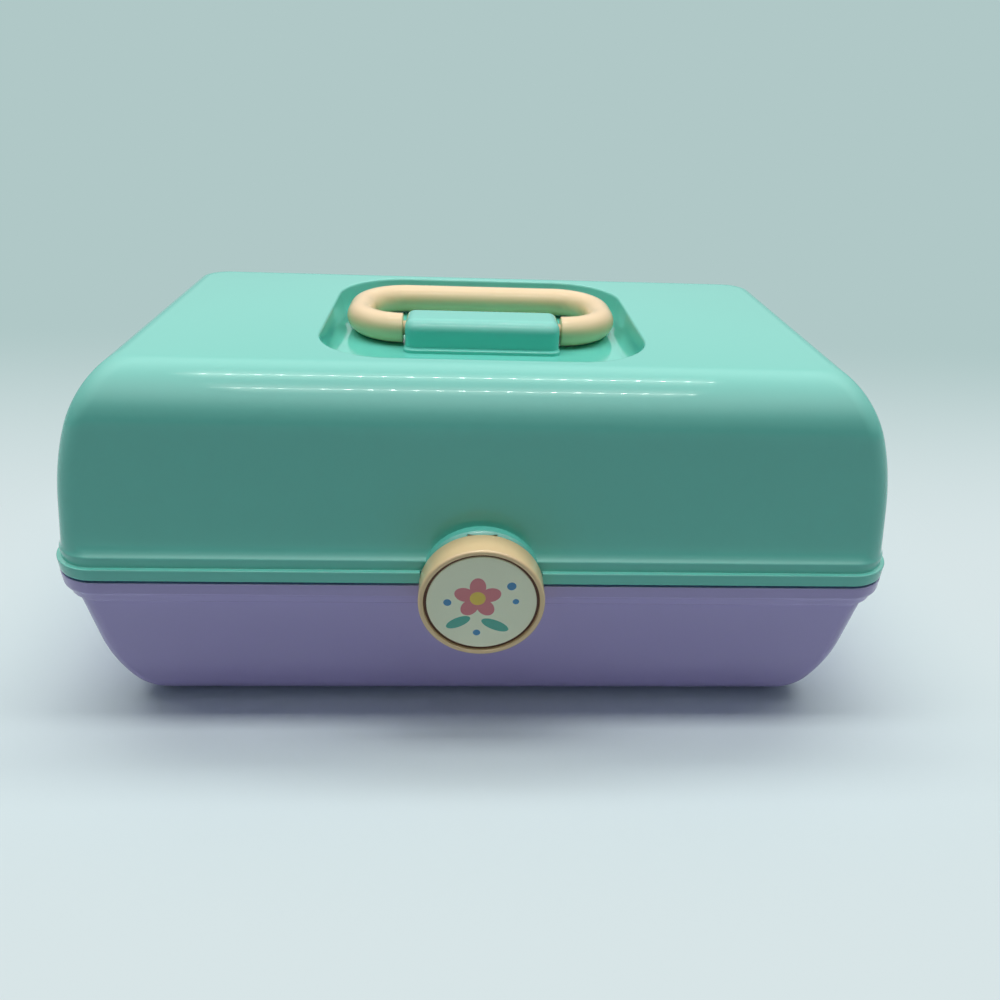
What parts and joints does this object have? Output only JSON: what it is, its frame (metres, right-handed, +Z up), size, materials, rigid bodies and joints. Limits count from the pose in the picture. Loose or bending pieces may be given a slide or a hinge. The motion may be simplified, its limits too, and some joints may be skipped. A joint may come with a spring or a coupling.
{
  "type": "vanity case",
  "caption": "Hard-shell makeup storage case with a folding carry handle, a round flip latch, a mirror in the lid and two cantilever trays that fan out as the lid opens.",
  "frame": {"origin": "on the floor, under the middle of the closed case's width and of its rims' depth", "axes": "+Z up, +X along the width towards the right seen from the front, +Y towards the hinges; the latch faces -Y"},
  "size_m": [0.325, 0.1985, 0.1488],
  "materials": {
    "mint_shell": "glossy moulded",
    "lavender_shell": "glossy moulded",
    "peach_plastic": "glossy moulded",
    "cream_plastic": "printed, clear coated",
    "tray_plastic": "satin moulded",
    "steel": "plain",
    "mirror_glass": "polished"
  },
  "bodies": {
    "base": {"base_shell": "lavender_shell", "hinge_pins": "steel", "arm_rivets": "steel"},
    "lid": {"lid_shell": "mint_shell", "latch_pin": "steel", "link_rivets": "steel", "handle_block": "mint_shell", "handle_block_screws": "steel", "mirror_frame": "mint_shell", "mirror_frame_screws": "steel", "mirror_glass": "mirror_glass"},
    "handle": {"handle": "peach_plastic", "handle_pins": "peach_plastic"},
    "latch": {"latch_ring": "peach_plastic", "latch_disc": "cream_plastic"},
    "front_arms": {"front_arm_left": "tray_plastic", "front_arm_right": "tray_plastic"},
    "rear_arms": {"rear_arm_left": "tray_plastic", "rear_arm_right": "tray_plastic"},
    "drive_links": {"drive_link_left": "tray_plastic", "drive_link_right": "tray_plastic"},
    "lower_tray": {"lower_tray": "tray_plastic", "lower_tray_rivets": "steel"},
    "upper_tray": {"upper_tray": "tray_plastic", "upper_tray_rivets": "steel"}
  },
  "joints": [
    {"name": "lid_hinge", "type": "hinge", "parent": "base", "child": "lid", "pos_m": [0, 0.0935, 0.068], "axis": [-1, 0, 0], "range_deg": [0, 100]},
    {"name": "front_arms_pivot", "type": "hinge", "parent": "base", "child": "front_arms", "pos_m": [0, 0.0191, 0.05122], "axis": [-1, 0, 0], "range_deg": [0, 100]},
    {"name": "rear_arms_pivot", "type": "hinge", "parent": "base", "child": "rear_arms", "pos_m": [0, 0.0661, 0.05122], "axis": [-1, 0, 0], "range_deg": [0, 100]},
    {"name": "lower_tray_pivot", "type": "hinge", "parent": "front_arms", "child": "lower_tray", "pos_m": [0, -0.02475, 0.06134], "axis": [1, 0, 0], "range_deg": [0, 100]},
    {"name": "upper_tray_pivot", "type": "hinge", "parent": "front_arms", "child": "upper_tray", "pos_m": [0, -0.06859, 0.07146], "axis": [1, 0, 0], "range_deg": [0, 100]},
    {"name": "drive_links_pivot", "type": "hinge", "parent": "lid", "child": "drive_links", "pos_m": [0, 0.04965, 0.07812], "axis": [1, 0, 0], "range_deg": [0, 100]},
    {"name": "handle_fold", "type": "hinge", "parent": "lid", "child": "handle", "pos_m": [0, -0.007, 0.1424], "axis": [1, 0, 0], "range_deg": [0, 95]},
    {"name": "latch_flip", "type": "hinge", "parent": "lid", "child": "latch", "pos_m": [0, -0.0863, 0.0877], "axis": [-1, 0, 0], "range_deg": [0, 40]}
  ],
  "couplings": [
    {"joint": "front_arms_pivot", "follows": "lid_hinge", "ratio": 1},
    {"joint": "rear_arms_pivot", "follows": "lid_hinge", "ratio": 1},
    {"joint": "lower_tray_pivot", "follows": "lid_hinge", "ratio": 1},
    {"joint": "upper_tray_pivot", "follows": "lid_hinge", "ratio": 1},
    {"joint": "drive_links_pivot", "follows": "lid_hinge", "ratio": 1}
  ]
}
